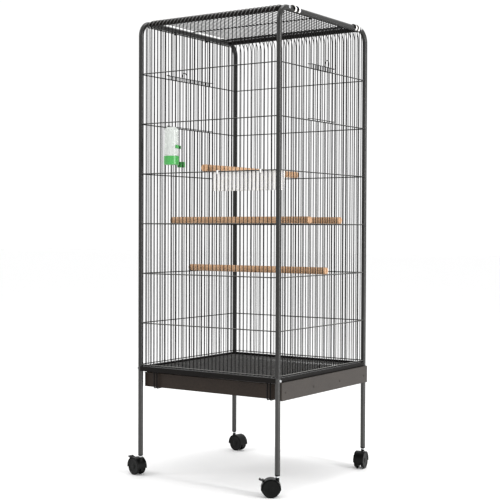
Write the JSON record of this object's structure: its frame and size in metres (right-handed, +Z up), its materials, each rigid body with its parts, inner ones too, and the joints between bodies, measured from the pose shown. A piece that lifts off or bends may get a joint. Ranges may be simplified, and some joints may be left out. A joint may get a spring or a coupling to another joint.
{
  "type": "bird cage on stand",
  "caption": "Tall wire bird cage on a legged tube stand with twin-wheel castors, lift-up side doors, wooden perches, a feeder trough, a water bottle and a slide-out waste tray.",
  "frame": {"origin": "on the floor, midway between the four legs", "axes": "+Z up; the front, with the water bottle and the feeder, faces -Y; the waste tray slides out towards +X; the side tubes' top runs lie along Y"},
  "size_m": [0.6052, 0.5941, 1.462],
  "materials": {
    "frame_tubes": "dark grey hammered paint, satin",
    "base_rails": "dark brown-grey hammered paint, satin",
    "cage_wire": "dark grey coating, semi-gloss",
    "tray_paint": "dark brown-grey paint, satin",
    "tray_face_paint": "lighter brown-grey hammered paint, satin",
    "zinc": "zinc plated",
    "black_screws": "black, satin",
    "pine": "bare softwood, lightly sanded",
    "white_plastic": "white, moulded, semi-gloss",
    "green_plastic": "leaf green, moulded, semi-gloss",
    "clear_plastic": "clear moulded plastic bottle",
    "black_plastic": "black nylon, satin",
    "castor_tread": "dark tread and wheel, satin"
  },
  "bodies": {
    "cage": {"left_side_tube": "frame_tubes", "right_side_tube": "frame_tubes", "front_left_leg": "frame_tubes", "front_right_leg": "frame_tubes", "rear_left_leg": "frame_tubes", "rear_right_leg": "frame_tubes", "front_crossbar": "frame_tubes", "rear_crossbar": "frame_tubes", "front_rail": "base_rails", "rear_rail": "base_rails", "left_rail": "base_rails", "right_rail": "base_rails", "leg_plugs": "black_plastic", "rail_bolts": "zinc", "crossbar_bolts": "zinc", "panel_screws": "black_screws", "front_panel": "cage_wire", "rear_panel": "cage_wire", "left_panel": "cage_wire", "right_panel": "cage_wire", "roof_panel": "cage_wire", "floor_grate": "cage_wire", "tray_hangers": "cage_wire", "roof_clips": "white_plastic", "upper_perch": "pine", "front_perch": "pine", "rear_perch": "pine", "lower_perch": "pine", "bottle_body": "clear_plastic", "bottle_base": "green_plastic", "bottle_clip": "green_plastic", "front_left_stem": "zinc", "front_right_stem": "zinc", "rear_left_stem": "zinc", "rear_right_stem": "zinc"},
    "tray": {"waste_tray": "tray_paint", "tray_face": "tray_face_paint", "tray_rivets": "tray_face_paint"},
    "left_door": {"left_door": "cage_wire"},
    "right_door": {"right_door": "cage_wire"},
    "feeder": {"feeder_trough": "white_plastic"},
    "front_left_castor": {"front_left_hood": "black_plastic", "front_left_axle": "zinc"},
    "front_left_wheel_a": {"front_left_wheel_a": "castor_tread"},
    "front_left_wheel_b": {"front_left_wheel_b": "castor_tread"},
    "front_left_brake_lever": {"front_left_brake": "black_plastic"},
    "front_right_castor": {"front_right_hood": "black_plastic", "front_right_axle": "zinc"},
    "front_right_wheel_a": {"front_right_wheel_a": "castor_tread"},
    "front_right_wheel_b": {"front_right_wheel_b": "castor_tread"},
    "front_right_brake_lever": {"front_right_brake": "black_plastic"},
    "rear_left_castor": {"rear_left_hood": "black_plastic", "rear_left_axle": "zinc"},
    "rear_left_wheel_a": {"rear_left_wheel_a": "castor_tread"},
    "rear_left_wheel_b": {"rear_left_wheel_b": "castor_tread"},
    "rear_right_castor": {"rear_right_hood": "black_plastic", "rear_right_axle": "zinc"},
    "rear_right_wheel_a": {"rear_right_wheel_a": "castor_tread"},
    "rear_right_wheel_b": {"rear_right_wheel_b": "castor_tread"}
  },
  "joints": [
    {"name": "tray_slide", "type": "slide", "parent": "cage", "child": "tray", "axis": [1, 0, 0], "range_m": [0, 0.4]},
    {"name": "left_door_lift", "type": "slide", "parent": "cage", "child": "left_door", "axis": [0, 0, 1], "range_m": [0, 0.12]},
    {"name": "right_door_lift", "type": "slide", "parent": "cage", "child": "right_door", "axis": [0, 0, 1], "range_m": [0, 0.12]},
    {"name": "feeder_lift", "type": "slide", "parent": "cage", "child": "feeder", "axis": [0, 0, 1], "range_m": [0, 0.02]},
    {"name": "front_left_swivel", "type": "hinge", "parent": "cage", "child": "front_left_castor", "pos_m": [-0.262, -0.262, 0.06], "axis": [0, 0, 1], "continuous": true},
    {"name": "front_left_wheel_a_spin", "type": "hinge", "parent": "front_left_castor", "child": "front_left_wheel_a", "pos_m": [-0.28044, -0.2574, 0.027], "axis": [-0.2419, -0.9703, 0], "continuous": true},
    {"name": "front_left_wheel_b_spin", "type": "hinge", "parent": "front_left_castor", "child": "front_left_wheel_b", "pos_m": [-0.28044, -0.2574, 0.027], "axis": [-0.2419, -0.9703, 0], "continuous": true},
    {"name": "front_left_brake_press", "type": "hinge", "parent": "front_left_castor", "child": "front_left_brake_lever", "pos_m": [-0.30417, -0.25149, 0.05062], "axis": [-0.2419, -0.9703, 0], "range_deg": [0, 25]},
    {"name": "front_right_swivel", "type": "hinge", "parent": "cage", "child": "front_right_castor", "pos_m": [0.262, -0.262, 0.06], "axis": [0, 0, 1], "continuous": true},
    {"name": "front_right_wheel_a_spin", "type": "hinge", "parent": "front_right_castor", "child": "front_right_wheel_a", "pos_m": [0.24625, -0.27262, 0.027], "axis": [0.5592, -0.829, 0], "continuous": true},
    {"name": "front_right_wheel_b_spin", "type": "hinge", "parent": "front_right_castor", "child": "front_right_wheel_b", "pos_m": [0.24625, -0.27262, 0.027], "axis": [0.5592, -0.829, 0], "continuous": true},
    {"name": "front_right_brake_press", "type": "hinge", "parent": "front_right_castor", "child": "front_right_brake_lever", "pos_m": [0.22597, -0.2863, 0.05062], "axis": [0.5592, -0.829, 0], "range_deg": [0, 25]},
    {"name": "rear_left_swivel", "type": "hinge", "parent": "cage", "child": "rear_left_castor", "pos_m": [-0.262, 0.262, 0.06], "axis": [0, 0, 1], "continuous": true},
    {"name": "rear_left_wheel_a_spin", "type": "hinge", "parent": "rear_left_castor", "child": "rear_left_wheel_a", "pos_m": [-0.24323, 0.25903, 0.027], "axis": [0.1564, 0.9877, 0], "continuous": true},
    {"name": "rear_left_wheel_b_spin", "type": "hinge", "parent": "rear_left_castor", "child": "rear_left_wheel_b", "pos_m": [-0.24323, 0.25903, 0.027], "axis": [0.1564, 0.9877, 0], "continuous": true},
    {"name": "rear_right_swivel", "type": "hinge", "parent": "cage", "child": "rear_right_castor", "pos_m": [0.262, 0.262, 0.06], "axis": [0, 0, 1], "continuous": true},
    {"name": "rear_right_wheel_a_spin", "type": "hinge", "parent": "rear_right_castor", "child": "rear_right_wheel_a", "pos_m": [0.2653, 0.24329, 0.027], "axis": [0.9848, 0.1736, 0], "continuous": true},
    {"name": "rear_right_wheel_b_spin", "type": "hinge", "parent": "rear_right_castor", "child": "rear_right_wheel_b", "pos_m": [0.2653, 0.24329, 0.027], "axis": [0.9848, 0.1736, 0], "continuous": true}
  ]
}
